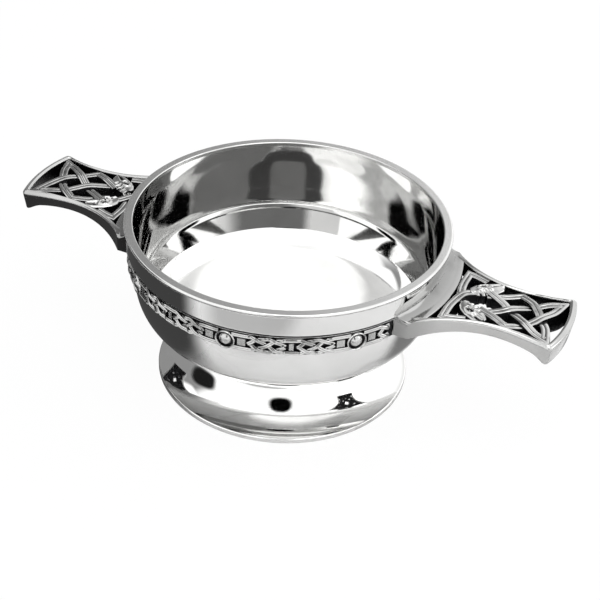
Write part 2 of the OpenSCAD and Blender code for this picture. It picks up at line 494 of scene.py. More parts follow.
@cache
def tarnish_group() -> bpy.types.NodeTree:
    """Tarnish: a mask from the tarnish value, with faint cloudy patches added to it.

    Returns:
        The group, made on the first call.
    """
    sheet, given = new_group("cloudy_tarnish", ("Clouds", "Cloud scale"), ("Mask",))
    cloud = sheet.rise(sheet.noise(given["Cloud scale"], detail=4.0), low=0.45, high=0.75)
    mask = sheet.math("MULTIPLY_ADD", cloud, given["Clouds"], sheet.stored(TARNISH), clamp=True)
    sheet.add("NodeGroupOutput", {"Mask": mask})
    return sheet.tree


@dataclass(frozen=True)
class PewterFinish:
    """One finish of pewter: its polish, its tarnish and the patina left in its recesses."""

    name: str
    slot: Slot
    colour: Triple
    roughness: float
    variation: float
    bump: float
    bump_depth: float = 0.0002
    patch_scale: float = 60.0
    scratches: float = 0.25
    clouds: float = 0.2
    cloud_scale: float = 45.0
    tarnish_colour: Triple = (0.33, 0.328, 0.322)
    patina_colour: Triple = (0.012, 0.012, 0.013)
    patina_roughness: float = 0.45
    patina_start: float = 0.35
    patina_end: float = 0.75
    patina_break_up: float = 0.25

    @cache
    def material(self) -> bpy.types.Material:
        """The finish as a material: the clean metal under its tarnish, and both under the patina.

        Returns:
            The material, made on the first call.
        """
        material, sheet = new_material(self.name)
        polish = sheet.add(
            "ShaderNodeGroup",
            {
                "Roughness": self.roughness,
                "Variation": self.variation,
                "Patch scale": self.patch_scale,
                "Scratches": self.scratches,
            },
            node_tree=hand_polish_group(),
        )
        cloudy = {"Clouds": self.clouds, "Cloud scale": self.cloud_scale}
        tarnish = sheet.add("ShaderNodeGroup", cloudy, node_tree=tarnish_group())["Mask"]
        edges = {"Start": self.patina_start, "End": self.patina_end, "Break-up": self.patina_break_up}
        patina = sheet.add("ShaderNodeGroup", edges, node_tree=patina_group())["Mask"]
        worn = sheet.mix("RGBA", tarnish, (*self.colour, 1.0), (*self.tarnish_colour, 1.0))
        waves = {"Strength": self.bump, "Distance": self.bump_depth, "Height": polish["Height"]}
        sheet.feed(
            sheet.tree.nodes["Principled BSDF"],
            {
                "Base Color": sheet.mix("RGBA", patina, worn, (*self.patina_colour, 1.0)),
                "Roughness": sheet.mix("FLOAT", patina, polish["Roughness"], self.patina_roughness),
                "Metallic": 1.0,
                "Normal": sheet.add("ShaderNodeBump", waves)["Normal"],
            },
        )
        return material


# Each finish gives its colour, roughness, roughness variation and bump strength in that order.
MIRROR = PewterFinish(
    "mirror_pewter", Slot.POLISHED, (0.58, 0.58, 0.575), 0.045, 0.03, 0.012, scratches=0.02
)
# The rim's roughness is the real satin of lapping; its colour, darker than the mirror's, is painted shade on
# the lip.
LAPPED_AND_SHADED = PewterFinish("lapped_and_shaded_rim_pewter", Slot.POLISHED, (0.50, 0.50, 0.495), 0.20, 0.08, 0.05)
CASTING = PewterFinish(
    "lug_pewter", Slot.CAST, (0.38, 0.38, 0.376), 0.10, 0.08, 0.08,
    clouds=0.35, tarnish_colour=(0.15, 0.15, 0.148),
)
RELIEF = PewterFinish(
    "relief_pewter", Slot.BLACKENED, (0.38, 0.38, 0.376), 0.09, 0.10, 0.08,
    clouds=0.85, cloud_scale=150.0, tarnish_colour=(0.13, 0.13, 0.128),
)
DOME = PewterFinish("boss_pewter", Slot.POLISHED, (0.40, 0.40, 0.396), 0.22, 0.08, 0.05)


@dataclass
class Bowl:
    """Spun bowl with its rim wire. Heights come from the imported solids."""

    bowl_r: float = 52.0
    belly_power: float = 3.0
    belly_steps: int = 120
    wall: float = 2.0
    seat_start: float = 0.2
    groove_h: float = 0.4
    groove_depth: float = 0.5
    groove_round: float = 0.1
    groove_shade: float = 0.12
    collar_r: float = 54.2
    collar_edge: float = 0.35
    mouth_r: float = 51.9
    mouth_depth: float = 2.0
    mouth_taper: float = 0.1
    rim_r: float = 55.0
    rim_inner_edge: float = 0.35
    # Just under half of the wire's height, so that the two arcs of its outer edge stay apart.
    rim_outer_edge: float = 0.6993
    rim_seam: float = 1.0
    rim_overlap: float = 0.4
    rim_steps: int = 9
    inner_r: float = 50.9
    crease_slope: float = 67.0
    crease_r: float = 46.9
    crease_round: float = 0.8
    crease_support: float = 0.05
    floor_lift: float = 2.0
    dish_power: float = 9.0

    def __post_init__(self) -> None:
        """Reads the stacked heights from the frame."""
        self.underside = bottom_of("bowl")
        self.belly_top = bottom_of("knotwork_band")
        self.wire_top = top_of("knotwork_band")
        self.collar_top = bottom_of("rim_wire")
        self.rim_top = top_of("rim_wire")

    def belly(self, inset: float) -> Array:
        """Half of the belly's curve, from the axis up to the band.

        It is a superellipse: radius goes with the sine, and depth with the cosine, of an angle that
        runs from 0 to 90 degrees, both raised to 2 over the belly's power.

        Args:
            inset: How far the curve is pulled in from the outside of the bowl.

        Returns:
            Rows of [radius, height].
        """
        angle = np.linspace(0.0, QUARTER_TURN, self.belly_steps)
        power = 2.0 / self.belly_power
        depth = self.belly_top - self.underside - inset
        radius = (self.bowl_r - inset) * np.sin(angle) ** power
        height = self.belly_top - depth * np.cos(angle).clip(0.0) ** power
        return np.stack([radius, height], axis=-1)

    def inside(self) -> Array:
        """The inside's curve, from the axis up to the band.

        The wall follows the belly down to where it stands at the crease's slope, runs straight on at
        that slope to the crease, and meets a dished floor whose height goes with a power of the radius.
        A small arc softens the crease.

        Returns:
            Rows of [radius, height].
        """
        wall = self.belly(self.wall)
        wall[:, 0] *= self.inner_r / wall[-1, 0]
        run, rise = np.gradient(wall[:, 0]), np.gradient(wall[:, 1])
        slope = math.tan(math.radians(self.crease_slope))
        steep = wall[rise > run * slope]
        floor_z = self.underside + self.wall + self.floor_lift
        crease_z = steep[0, 1] - (steep[0, 0] - self.crease_r) * slope
        share = np.linspace(0.0, 1.0, self.belly_steps)
        dish_z = floor_z + (crease_z - floor_z) * share**self.dish_power
        dish = np.stack([self.crease_r * share, dish_z], axis=-1)
        corner = [(*dish[-2], 0.0), (*dish[-1], self.crease_round), (*steep[0], 0.0)]
        crease = filleted(corner, support=self.crease_support)
        return np.concatenate([dish[:-2], crease[:-1], steep])

    def bowl_surface(self) -> Surface:
        """The whole wall in one turn, from under the bowl, over the collar and down to the inner floor.

        Returns:
            The wall, blackened in the groove that the band sits in.
        """
        collar_bottom = self.wire_top + self.groove_h
        step = filleted(
            [
                (self.bowl_r, self.belly_top + self.seat_start, 0.0),
                (self.bowl_r, collar_bottom, self.groove_round),
                (self.collar_r, collar_bottom, self.collar_edge),
                (self.collar_r, self.collar_top, 0.0),
                (self.mouth_r, self.collar_top, 0.0),
                (self.mouth_r - self.mouth_taper, self.collar_top - self.mouth_depth, 0.0),
            ]
        )
        profile = np.concatenate([self.belly(0.0), step, self.inside()[::-1]])
        radius, height = profile[:, :1], profile[:, 1:]
        in_groove = (height > self.belly_top) & (height < collar_bottom + self.groove_shade)
        recess = in_groove & (radius > self.bowl_r - self.groove_depth)
        return revolve(profile, closed=False, recess=recess.astype(float))

    def rim_surface(self) -> Surface:
        """The rim wire's section: a flat top, a half-round outer edge and a softened inner edge.

        Returns:
            The wire, with its seam underneath.
        """
        corners = [
            (self.mouth_r + self.rim_seam, self.collar_top, 0.0),
            (self.mouth_r, self.collar_top, 0.0),
            (self.mouth_r, self.rim_top, self.rim_inner_edge),
            (self.rim_r, self.rim_top, self.rim_outer_edge),
            (self.rim_r, self.collar_top, self.rim_outer_edge),
            (self.collar_r - self.rim_overlap, self.collar_top, 0.0),
        ]
        return revolve(filleted(corners, steps=self.rim_steps), closed=True)

    def build(self) -> None:
        """Makes the bowl and its rim wire."""
        build_piece("spun_bowl", [self.bowl_surface()], MIRROR, "bowl")
        build_piece("mouth_wire", [self.rim_surface()], LAPPED_AND_SHADED, "rim_wire")


@dataclass
class Foot:
    """Flared hollow foot, seated under the bowl."""

    foot_r: float = 44.2
    edge_h: float = 2.0
    edge_start: float = 0.6
    edge_round: float = 0.45
    flare_r: float = 14.5
    flare_end: float = 88.0
    flare_steps: int = 60
    wall: float = 2.0
    land_w: float = 3.5
    seat_fall: float = 0.55

    def flare(self, radius: float, low: float, high: float) -> Array:
        """An arc of the flare about the point above the foot's edge.

        Args:
            radius: The arc's radius.
            low: Angle at the arc's start, down from level.
            high: Angle at the arc's end.

        Returns:
            Rows of [radius, height].
        """
        angle = np.radians(np.linspace(low, high, self.flare_steps))
        height = self.edge_h + self.flare_r
        return np.stack([self.foot_r - radius * np.cos(angle), height - radius * np.sin(angle)], axis=-1)

    def surface(self) -> Surface:
        """The foot's wall in one turn: up the inside, over the seat, down the flare and round the edge.

        Returns:
            The wall.
        """
        neck_r = self.foot_r - self.flare_r
        seat = top_of("foot")
        inner_r = self.flare_r + self.wall
        land_angle = math.degrees(math.acos(self.land_w / inner_r))
        inside = self.flare(inner_r, land_angle, 0.0)
        outside = self.flare(self.flare_r, 0.0, self.flare_end)
        edge = filleted(
            [
                (self.foot_r - self.edge_start, self.edge_h, 0.0),
                (self.foot_r, self.edge_h, self.edge_round),
                (self.foot_r, 0.0, self.edge_round),
                (self.foot_r - self.land_w, 0.0, 0.0),
            ]
        )
        seat_ring = np.array([[neck_r - self.wall, seat - self.seat_fall], [neck_r, seat]])
        return revolve(np.concatenate([inside, seat_ring, outside, edge]), closed=True)

    def build(self) -> None:
        """Makes the foot."""
        build_piece("flared_foot", [self.surface()], MIRROR, "foot")


@dataclass
class KnotworkBand:
    """Strip with a wire, a four-strand plait between collets, and the domed bosses.

    Where a field is a pair that ends in shade, it is where darkening starts and where it is full.
    """

    bowl_r: float = 52.0
    strip_r: float = 53.2
    strip_inset: float = 0.2
    strip_start: float = 1.0
    strip_round: float = 0.3
    strip_edge: float = 0.1
    band_h: float = 7.0
    wire_d: float = 0.9
    wire_steps: int = 18
    wire_top_shade: Pair = (0.1, 0.4)
    wire_low_shade: Pair = (0.7, 0.95)
    relief_floor: float = -0.3
    ribbon_w: float = 1.5
    ribbon_h: float = 0.72
    ribbon_section: Rows = (
        (0.0, 0.15, 0.42), (0.22, 0.05, 0.12), (0.52, 0.0, 0.0),
        (0.82, 0.12, 0.25), (0.97, 0.34, 0.85), (1.0, TO_FLOOR, 1.0),
    )
    weave: float = 0.28
    weave_snap: float = 4.0
    plait_lift: float = 0.3
    plait_h: float = 6.3
    knots: tuple[Pair, ...] = ((0.18, 0.455), (0.545, 0.82))
    strand_steps: int = 180
    strand_fewest: int = 8
    strand_margin: float = 0.8
    strand_tuck: float = 0.4
    boss_count: int = 8
    boss_turn: float = 4.0
    boss_d: float = 4.3
    boss_h: float = 1.3
    boss_base: float = -0.02
    boss_shade: Pair = (0.86, 1.0)
    boss_margin: float = 4.0
    boss_rings: int = 22
    boss_steps: int = 48
    collet_gap: float = 0.5
    collet_w: float = 0.8
    collet_h: float = 0.95
    collet_light: Pair = (-0.3, 0.3)
    collet_steps: int = 64
    collet_section_steps: int = 14
    pad_h: float = 3.0
    pad_top: float = 0.42
    pad_shade: float = 0.38
    pad_wall: float = 0.99
    pad_dark_edge: float = 0.9
    pad_margin: float = 3.0
    pad_steps: int = 25
    hatch_rate: float = 4.0
    hatch_h: float = 0.07
    hatch_shade: float = 0.16
    end_pad: Pair = (0.128, 3.0)
    middle_pad: Pair = (0.5, 1.6)
    root_half_angle: float = 27.5

    def __post_init__(self) -> None:
        """Reads the band's height above the table from the frame."""
        self.low = bottom_of("knotwork_band")
        self.middle = self.low + 0.5 * self.band_h
        self.unit_angle = 2.0 * math.pi / self.boss_count
        self.unit_length = self.unit_angle * self.strip_r

    def turn_at(self, place: Array | float) -> Array | float:
        """The angle about the bowl's axis, in radians, at a place counted in bosses round the band."""
        return math.radians(self.boss_turn) + place * self.unit_angle

    def wrapped(self, along: Array, up: Array, out: Array, boss: int) -> Array:
        """Wraps flat relief round the strip.

        Args:
            along: Distance along the strip from a boss.
            up: Height above the band's middle.
            out: Height above the strip.
            boss: The boss that along is measured from, counted round the band.

        Returns:
            Points of the relief in space.
        """
        return about_axis(self.strip_r + out, self.turn_at(boss) + along / self.strip_r, self.middle + up)

    def clear_of_roots(self, turn: Array | float, margin: float) -> Array:
        """Where the band lies clear of both handle roots.

        Args:
            turn: Angles about the bowl's axis, in radians.
            margin: Room to leave beside a root.

        Returns:
            True at each clear angle.
        """
        from_handle = np.abs(np.arcsin(np.sin(turn)))
        return from_handle > math.radians(self.root_half_angle + margin)

    def strip(self) -> list[Surface]:
        """The strip's section, and the round wire along its upper edge.

        Returns:
            Both, carried round the bowl.
        """
        top = self.low + self.band_h
        face_r = self.strip_r - self.strip_inset
        bottom = self.low + self.strip_round
        section = filleted(
            [
                (self.bowl_r, self.low + self.strip_start, 0.0),
                (self.bowl_r, bottom, 0.0),
                (face_r, bottom, self.strip_round),
                (face_r, top + self.wire_d, self.strip_edge),
                (self.bowl_r, top + self.wire_d, 0.0),
            ]
        )
        angle = full_turn(self.wire_steps)[:, None]
        wire_r = 0.5 * self.wire_d
        wire = np.hstack([self.strip_r + wire_r * np.cos(angle), top + wire_r + wire_r * np.sin(angle)])
        over = smooth_step(*self.wire_top_shade, np.sin(angle))
        under = smooth_step(*self.wire_low_shade, -np.sin(angle))
        wire_shade = np.maximum(over, under)
        return [
            revolve(section, closed=True, recess=1.0),
            revolve(wire, closed=True, recess=wire_shade),
        ]

    def ribbon(self, along: Array, up: Array, out: Array, boss: int) -> Surface:
        """A ribbon of relief along a path on the strip.

        The section is a low round bar with a shallow groove down its middle, laid across the path.

        Args:
            along: The path's distance along the strip.
            up: The path's height above the band's middle.
            out: The ribbon's top above the strip.
            boss: The boss that along is measured from.

        Returns:
            The ribbon, closed at both ends.
        """
        heading = unit(np.stack([np.gradient(along), np.gradient(up)], axis=-1))
        across, drop, shade = symmetric(self.ribbon_section)
        side = 0.5 * self.ribbon_w * across
        flat_along = along[:, None] - heading[:, 1:] * side
        flat_up = up[:, None] + heading[:, :1] * side
        flat_out = np.maximum(out[:, None] - drop, self.relief_floor)
        return tube(self.wrapped(flat_along, flat_up, flat_out, boss), shade)

    def strand(self, boss: int, number: int, start: float, end: float) -> list[Surface]:
        """One strand of the plait between two shares of the way from a boss to the next.

        A strand's height goes with the cosine of a phase, a quarter wave apart from strand to strand.
        The phase gains half a wave over each knot and stays level elsewhere. The strand rises and falls
        with the cosine of four times the phase, and the sign of its sine, so it passes over and under.

        Args:
            boss: The boss that the plait starts from.
            number: The strand, from 0 to 3.
            start: Share of the way where it starts.
            end: Share of the way where it ends.

        Returns:
            The strand, or nothing where a handle's root covers it.
        """
        share = np.linspace(start, end, self.strand_steps)
        share = share[self.clear_of_roots(self.turn_at(boss + share), self.strand_margin)]
        if len(share) < self.strand_fewest:
            return []
        halves = sum(np.clip((share - low) / (high - low), 0.0, 1.0) for low, high in self.knots)
        phase = math.pi * halves + QUARTER_TURN * number
        lift = -np.tanh(self.weave_snap * np.sin(phase)) * np.cos(4.0 * phase)
        up = self.plait_lift + 0.5 * (self.plait_h - self.ribbon_w) * np.cos(phase)
        out = self.ribbon_h + self.weave * lift
        return [self.ribbon(share * self.unit_length, up, out, boss)]

    def plait(self, boss: int) -> list[Surface]:
        """Two outer strands from boss to boss, and two inner ones that end in points at each knot.

        Args:
            boss: The boss that the plait starts from.

        Returns:
            The strands that lie clear of the handle roots.
        """
        collet = (0.5 * self.boss_d + self.collet_gap - self.strand_tuck) / self.unit_length
        made = self.strand(boss, 0, collet, 1.0 - collet) + self.strand(boss, 2, collet, 1.0 - collet)
        for start, end in self.knots:
            made += self.strand(boss, 1, start, end) + self.strand(boss, 3, start, end)
        return made

    def collet(self, boss: int) -> Surface:
        """Half-round ring about a boss: a section's circle carried round the boss's middle.

        Args:
            boss: The boss that it holds.

        Returns:
            The ring.
        """
        turn = full_turn(self.collet_steps)[:, None]
        section = full_turn(self.collet_section_steps)[None, :]
        middle = 0.5 * self.boss_d + self.collet_gap + 0.5 * self.collet_w
        rho = middle + 0.5 * self.collet_w * np.cos(section)
        out = np.maximum(self.collet_h * np.sin(section), self.relief_floor)
        points = self.wrapped(rho * np.cos(turn), rho * np.sin(turn), out, boss)
        recess = 1.0 - smooth_step(*self.collet_light, np.sin(section))
        return Surface(points, recess, rows_closed=True, columns_closed=True)

    def pad(self, boss: int, share: float, length: float) -> list[Surface]:
        """Small hatched pad that fills an opening of the plait, as a grid with a sunk edge.

        The hatching is the product of a cosine along the pad and one up it.

        Args:
            boss: The boss that the plait starts from.
            share: Where the pad lies, as a share of the way to the next boss.
            length: The pad's length.

        Returns:
            The pad, or nothing where a handle's root covers it.
        """
        if not self.clear_of_roots(self.turn_at(boss + share), self.pad_margin):
            return []
        side = np.linspace(-1.0, 1.0, self.pad_steps)
        across, upward = side[:, None], side[None, :]
        rim = np.maximum(np.abs(across), np.abs(upward))
        hatch = np.cos(self.hatch_rate * length * across) * np.cos(self.hatch_rate * self.pad_h * upward)
        out = np.where(rim > self.pad_wall, self.relief_floor, self.pad_top + self.hatch_h * hatch)
        along = share * self.unit_length + 0.5 * length * across
        up = self.plait_lift + 0.5 * self.pad_h * upward
        recess = np.where(rim > self.pad_dark_edge, 1.0, self.pad_shade - self.hatch_shade * hatch)
        return [Surface(self.wrapped(along, up, out, boss), recess)]

    def dome(self, boss: int) -> Surface:
        """Domed boss: a cap of a sphere over a flat base, as radius against turn.

        Args:
            boss: Which boss it is.

        Returns:
            The closed dome.
        """
        base_r = 0.5 * self.boss_d
        sphere_r = (base_r**2 + self.boss_h**2) / (2.0 * self.boss_h)
        share = np.concatenate([np.linspace(0.0, 1.0, self.boss_rings), [1.0, 0.0]])[:, None]
        turn = full_turn(self.boss_steps)
        rho = base_r * share
        cap = self.boss_h - sphere_r + np.sqrt(sphere_r**2 - rho**2)
        cap[-2:] = self.boss_base
        points = self.wrapped(rho * np.cos(turn), rho * np.sin(turn), cap, boss)
        return Surface(points, smooth_step(*self.boss_shade, share), columns_closed=True)

    def build(self) -> None:
        """Makes the band and its bosses, leaving out what the handle roots cover."""
        relief = self.strip()
        domes = []
        for boss in range(self.boss_count):
            relief += self.plait(boss)
            near, length = self.end_pad
            relief += self.pad(boss, near, length) + self.pad(boss, 1.0 - near, length)
            relief += self.pad(boss, *self.middle_pad)
            if self.clear_of_roots(self.turn_at(boss), self.boss_margin):
                relief.append(self.collet(boss))
                domes.append(self.dome(boss))
        build_piece("woven_band", relief, RELIEF, "knotwork_band")
        build_piece("domed_bosses", domes, DOME, "band_bosses")


@dataclass(frozen=True)
class BeastHead:
    """Sizes of a beast head on a lug's panel.

    Places along the spine are shares from neck to snout, and places across it go from -1 to 1. A pair
    gives where a change starts and where it is full, apart from the eye's place and size, which are
    along and across.
    """

    spine: Rows = (
        (0.125, -0.24, 0.0), (0.185, -0.40, 0.0), (0.245, -0.57, 0.0),
        (0.309, -0.78, 0.0), (0.365, -0.97, 0.0),
    )
    spine_steps: int = 20
    across_steps: int = 41
    half_at: tuple[float, ...] = (0.0, 0.06, 0.25, 0.5, 0.75, 0.93, 1.0)
    half_w: tuple[float, ...] = (1.2, 2.2, 3.2, 3.5, 2.9, 2.1, 1.0)
    dome_h: float = 0.9
    rise: float = 0.55
    eye_at: Pair = (0.43, -0.28)
    eye_size: Pair = (0.13, 0.26)
    eye_edge: Pair = (0.75, 1.05)
    eye_depth: float = 0.6
    lid_at: float = 1.3
    lid_w: float = 0.26
    lid_h: float = 0.45
    bead_w: float = 0.40
    bead_h: float = 0.5
    bead_light: float = 0.7
    mouth_start: Pair = (0.62, 0.74)
    mouth_at: float = -0.30
    mouth_w: float = 0.17
    mouth_depth: float = 1.2
    mouth_shade: float = 1.2
    mane_start: Pair = (0.02, 0.12)
    mane_end: Pair = (0.55, 0.68)
    mane_lobes: float = 6.0
    mane_notch: float = 0.22
    furrow_start: Pair = (0.2, 0.75)
    furrow_depth: float = 0.6
    furrow_shade: float = 0.8
    brow_start: Pair = (0.1, 0.3)
    brow_at: float = 0.18
    brow_w: float = 0.16
    brow_h: float = 0.35
    edge_shade: Pair = (0.90, 1.0)


@dataclass
class Handle:
    """One lug: a frame with an arched underside, filled with pierced interlace and two beast heads.

    A route's points are shares of the window's length and of its half width, and a level: 1 over, -1
    under and 0 beside a crossing. A route turns sharply at the points that its turns list.
    """

    side: Side
    strip_r: float = 53.2
    reach: float = 99.2
    root_w: float = 47.0
    waist_half: float = 12.3
    waist_at: float = 79.0
    root_arc_r: float = 36.5
    end_arc_r: float = 55.0
    end_bow_r: float = 47.5
    end_lean: float = 9.0
    thickness: float = 6.2
    crown_t: float = 3.9
    crown_at: float = 75.0
    arch_r: float = 106.0
    side_border: float = 1.6
    end_border: float = 2.5
    root_border: float = 6.3
    corner_round: float = 1.7
    window_corner: float = 0.8
    lip_drop: float = 1.3
    lip_reach: float = 7.0
    lip_end: float = 2.0
    top_round: float = 1.15
    top_start: float = 0.04
    top_steps: int = 12
    root_fade: float = 4.0
    border_crown: float = 0.25
    bottom_round: float = 0.6
    wall_places: tuple[float, ...] = (0.1, 0.4, 0.7, 1.0)
    window_round: float = 0.35
    window_shade: float = 0.5
    window_places: tuple[float, ...] = (0.12, 0.5, 1.0)
    window_foot: float = 0.3
    window_foot_shade: float = 0.4
    edge_steps: int = 7
    cove_reach: float = 4.2
    cove_flat: float = 1.0
    cove_limit: float = 1.25
    cove_rise: float = 1.5
    cove_depth: float = 1.5
    root_tarnish: float = 0.8
    tarnish_reach: float = 12.0
    search_steps: int = 4000
    trace_steps: int = 6000
    trace_start: float = 8.0
    side_steps: int = 120
    bow_steps: int = 48
    corner_steps: int = 11
    root_steps: int = 70
    panel_rise: float = 0.1
    weave_rise: float = 0.5
    ribbon_w: float = 2.9
    # The last row is the foot of the ribbon's wall, which spreads outwards.
    ribbon_section: Rows = (
        (0.0, 0.22, 0.85), (0.15, 0.06, 0.3), (0.40, 0.0, 0.0), (0.80, 0.02, 0.0),
        (0.94, 0.13, 0.2), (1.0, 0.40, 0.9), (1.55, TO_FLOOR, 1.0),
    )
    mitre_limit: float = 2.6
    foot_mitre_limit: float = 1.2
    fold_limit: float = 1e-6
    route_steps: int = 10
    strand_route: Rows = (
        (0.29, -0.48, -1.0), (0.43, -0.24, 0.0), (0.52, 0.0, 1.0), (0.60, 0.23, 0.0), (0.69, 0.48, -1.0),
        (0.80, 0.72, 0.0), (0.911, 0.836, 0.0), (0.872, 0.42, 0.0), (0.80, 0.0, 1.0), (0.74, -0.30, 0.0),
        (0.67, -0.56, -1.0), (0.55, -0.86, 0.0), (0.42, -0.62, 1.0), (0.27, -0.32, 0.0),
    )
    strand_turns: tuple[int, ...] = (6, 11)
    neck_route: Rows = (
        (0.165, 0.30, 0.0), (0.085, 0.05, 1.0), (0.045, -0.20, 0.0), (0.028, -0.50, 0.0),
        (0.03, -0.86, 0.0), (0.10, -0.91, 0.0), (0.215, -0.92, 0.0),
    )
    neck_turns: tuple[int, ...] = (4,)
    beast: BeastHead = BeastHead()

    def __post_init__(self) -> None:
        """Reads the height of the handle's top face from the frame."""
        self.top = top_of("right_handle_frame")
        self.window_start = self.strip_r + self.root_border
        self.window_end = self.reach - self.end_border

    def half_width(self, x: Array, border: float) -> Array:
        """Half the handle's width between its two side curves.

        Each side is two arcs, tangent at the waist, about centres beside the waist.

        Args:
            x: Distances from the bowl's axis.
            border: How far inside the outline the curve runs.

        Returns:
            Half widths.
        """
        arc = np.where(x < self.waist_at, self.root_arc_r, self.end_arc_r)
        return self.waist_half + arc - np.sqrt((arc + border) ** 2 - (x - self.waist_at) ** 2)

    def underside(self, x: Array) -> Array:
        """Height of the arched underside: a level cylinder across the handle, with a drooping end lip.

        Args:
            x: Distances from the bowl's axis.

        Returns:
            Heights above the table.
        """
        centre = self.top - self.crown_t - self.arch_r
        arch = centre + np.sqrt(self.arch_r**2 - (x - self.crown_at) ** 2)
        lip_end = self.reach - self.lip_end
        lip = self.lip_drop * smooth_step(lip_end - self.lip_reach, lip_end, x)
        return np.maximum(arch, self.top - self.thickness) - lip

    def end_corner(self, radius: float, border: float) -> float:
        """Where the bowed end meets a side curve.

        Args:
            radius: Radius of the bowed end.
            border: How far inside the outline the side curve runs.

        Returns:
            The corner's distance from the bowl's axis.
        """
        x = np.linspace(self.waist_at, self.reach, self.search_steps)
        bow = self.reach - self.end_bow_r + np.sqrt(radius**2 - self.half_width(x, border) ** 2)
        return float(x[np.argmin(np.abs(x - bow))])

    def loop(self, bow_radius: float, border: float, root_radius: float, corner_round: float) -> Array:
        """A closed outline seen from above: side, bowed end, other side and root.

        An end corner is a quadratic curve pulled towards the place where side and end would meet.

        Args:
            bow_radius: Radius of the bowed end.
            border: How far inside the handle's outline the sides run.
            root_radius: Radius of the root's curve about the bowl's axis.
            corner_round: How far from an end corner its rounding starts.

        Returns:
            Points of the outline, with the same count on each stretch whatever the sizes.
        """
        mirrored = np.array([1.0, -1.0])
        corner = self.end_corner(bow_radius, border)
        x = np.linspace(self.strip_r - self.trace_start, corner, self.trace_steps)
        width = np.minimum(self.half_width(x, border), 0.5 * self.root_w - border)
        outside = np.hypot(x, width) >= root_radius
        x, width = x[outside], width[outside]
        step = np.concatenate([[0.0], np.cumsum(np.hypot(np.diff(x), np.diff(width)))])
        even = np.linspace(0.0, step[-1] - corner_round, self.side_steps)
        side = np.stack([np.interp(even, step, x), np.interp(even, step, width)], axis=-1)
        bow_half = math.asin(width[-1] / bow_radius) - corner_round / bow_radius
        bow = np.linspace(bow_half, -bow_half, self.bow_steps)
        bow_x = self.reach - self.end_bow_r + bow_radius * np.cos(bow)
        end = np.stack([bow_x, bow_radius * np.sin(bow)], axis=-1)
        share = np.linspace(0.0, 1.0, self.corner_steps)[1:-1, None]
        tip = np.array([x[-1], width[-1]])
        turn_in = (1.0 - share) ** 2 * side[-1] + 2.0 * share * (1.0 - share) * tip + share**2 * end[0]
        root_turn = math.atan2(side[0, 1], side[0, 0])
        turn = np.linspace(-root_turn, root_turn, self.root_steps)[1:-1]
        root = root_radius * np.stack([np.cos(turn), np.sin(turn)], axis=-1)
        return np.concatenate([side, turn_in, end, turn_in[::-1] * mirrored, side[::-1] * mirrored, root])

    def cove(self, plan: Array) -> Array:
        """How far the top sweeps up to the collar: the square of the way into the cove."""
        into = self.strip_r + self.cove_reach - np.hypot(plan[:, 0], plan[:, 1])
        return self.cove_rise * np.clip(into / (self.cove_reach - self.cove_flat), 0.0, self.cove_limit) ** 2

    def frame_surface(self) -> Surface:
        """The frame as one closed section carried round the outline.

        The section goes up the outer wall, over a quarter-round edge, across the top to the window's
        smaller edge, down the window's wall and back underneath. The outer edge's rounding fades out
        where the root meets the strip.

        Returns:
            The frame, turned to its side.
        """
        lean = self.thickness * math.tan(math.radians(self.end_lean))
        window_bow_r = self.end_bow_r - self.end_border
        outer = self.loop(self.end_bow_r, 0.0, self.strip_r, self.corner_round)
        foot_line = self.loop(self.end_bow_r - lean, 0.0, self.strip_r, self.corner_round)
        inner = self.loop(window_bow_r, self.side_border, self.window_start, self.window_corner)
        inward = unit(inner - outer)
        from_root = np.hypot(outer[:, 0], outer[:, 1]) - self.strip_r
        soft = self.top_round * smooth_step(0.0, self.root_fade, from_root)
        low_outer = self.underside(foot_line[:, 0])
        low_inner = self.underside(inner[:, 0])
        wall_start = low_outer + self.bottom_round
        level = np.full(len(outer), self.top)
        rows = []
        shade = []

        def station(plan: Array, height: Array, recess: float = 0.0) -> None:
            """Adds one line of the section round the whole outline.

            Args:
                plan: The line's points seen from above.
                height: Their heights, before the cove lifts them.
                recess: The line's recess value.
            """
            lifted = height + self.cove(plan) * (height > self.top - self.cove_depth)
            rows.append(np.column_stack([plan, lifted]))
            shade.append(recess)

        def leaned(height: Array) -> Array:
            """The outer wall's plan at a height."""
            drop = ((self.top - height) / self.thickness)[:, None]
            return outer + (foot_line - outer) * drop

        quarter = np.linspace(0.0, QUARTER_TURN, self.edge_steps)
        for turn in quarter:
            height = low_outer + self.bottom_round * (1.0 - math.cos(turn))
            station(leaned(height) + inward * self.bottom_round * (1.0 - math.sin(turn)), height)
        for share in self.wall_places:
            height = wall_start + share * (self.top - soft - wall_start)
            station(leaned(height), height)
        for turn in quarter[1:]:
            height = self.top - soft * (1.0 - math.sin(turn))
            station(leaned(height) + inward * (soft * (1.0 - math.cos(turn)))[:, None], height)
        edge = outer + inward * soft[:, None]
        brink = inner - inward * self.window_round
        for share in np.linspace(self.top_start, 1.0, self.top_steps):
            crown = self.border_crown * math.sin(math.pi * share)
            station(edge + share * (brink - edge), level + crown)
        for turn in quarter[1:]:
            height = level - self.window_round * (1.0 - math.cos(turn))
            darkness = self.window_shade * math.sin(turn) ** 4
            station(brink + inward * self.window_round * math.sin(turn), height, darkness)
        window_top = self.top - self.window_round
        for share in self.window_places:
            station(inner, window_top + share * (low_inner - window_top), 1.0)
        station(inner - inward * self.window_foot, low_inner, self.window_foot_shade)
        points = np.stack(rows)
        from_axis = np.hypot(points[..., 0], points[..., 1])
        clean = smooth_step(self.strip_r, self.strip_r + self.tarnish_reach, from_axis)
        tarnish = self.root_tarnish * (1.0 - clean)
        recess = np.array(shade)[:, None]
        shell = Surface(points, recess, rows_closed=True, columns_closed=True, tarnish=tarnish)
        return shell.turned(self.side)

